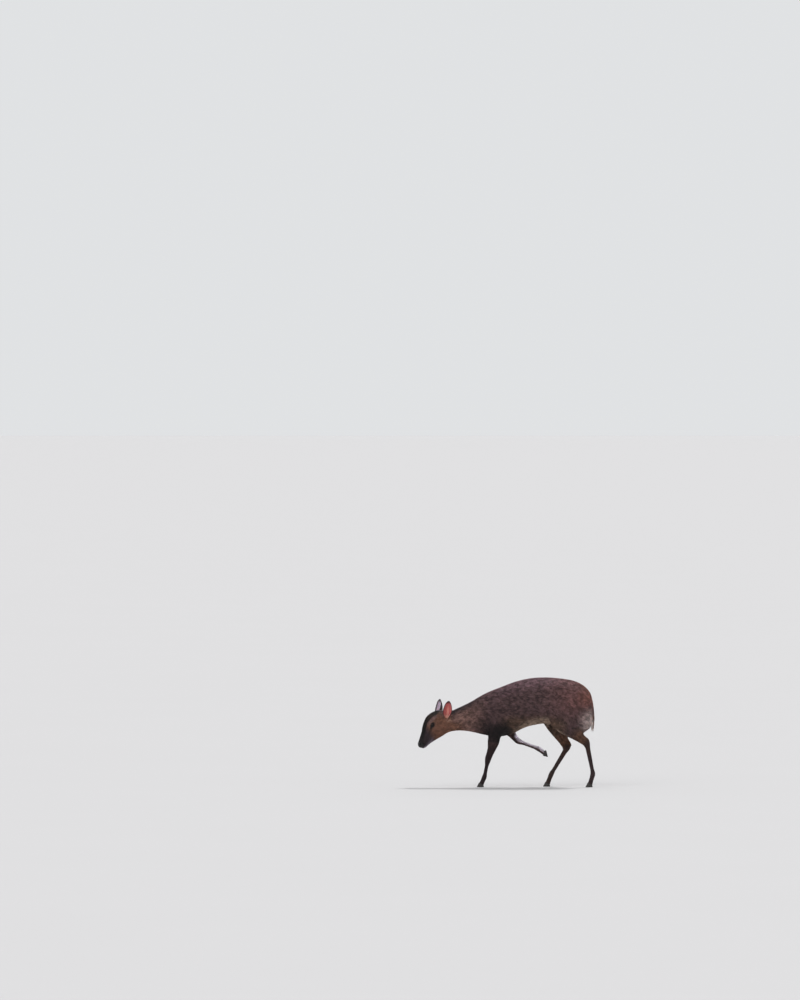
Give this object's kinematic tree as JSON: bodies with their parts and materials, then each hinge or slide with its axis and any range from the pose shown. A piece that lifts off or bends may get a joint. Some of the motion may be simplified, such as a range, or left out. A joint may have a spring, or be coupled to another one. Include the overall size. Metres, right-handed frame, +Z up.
{
  "type": "muntjac deer",
  "caption": "Life-size still model of a small hornless deer walking with its head lowered and one foreleg lifted, with cloven hooves, a hanging tail and cupped ears.",
  "frame": {"origin": "on the ground, under the middle of the animal's bounding box", "axes": "+Z is up, -X is the way the animal faces and +X the way back to its rump, -Y is towards its left side"},
  "size_m": [0.8008, 0.1658, 0.4922],
  "materials": {
    "coat": "short dull fur, grizzled brown",
    "leg_coat": "short dull fur, blackish brown",
    "tail_coat": "long dull hair, chestnut with a white fringe",
    "ear": "thin skin with sparse short fur",
    "eye": "wet and glossy",
    "horn": "hard horn, half matte"
  },
  "bodies": {
    "root": {"head": "coat", "neck": "coat", "torso": "coat", "tail": "tail_coat", "ear_left": "ear", "ear_right": "ear", "eye_left": "eye", "eye_right": "eye", "leg_front_left": "leg_coat", "leg_front_right": "leg_coat", "leg_hind_left": "leg_coat", "leg_hind_right": "leg_coat", "hoof_front_left_outer": "horn", "hoof_front_left_inner": "horn", "hoof_front_right_outer": "horn", "hoof_front_right_inner": "horn", "hoof_hind_left_outer": "horn", "hoof_hind_left_inner": "horn", "hoof_hind_right_outer": "horn", "hoof_hind_right_inner": "horn", "dewclaw_front_left_outer": "horn", "dewclaw_front_left_inner": "horn", "dewclaw_front_right_outer": "horn", "dewclaw_front_right_inner": "horn", "dewclaw_hind_left_outer": "horn", "dewclaw_hind_left_inner": "horn", "dewclaw_hind_right_outer": "horn", "dewclaw_hind_right_inner": "horn"}
  },
  "joints": []
}
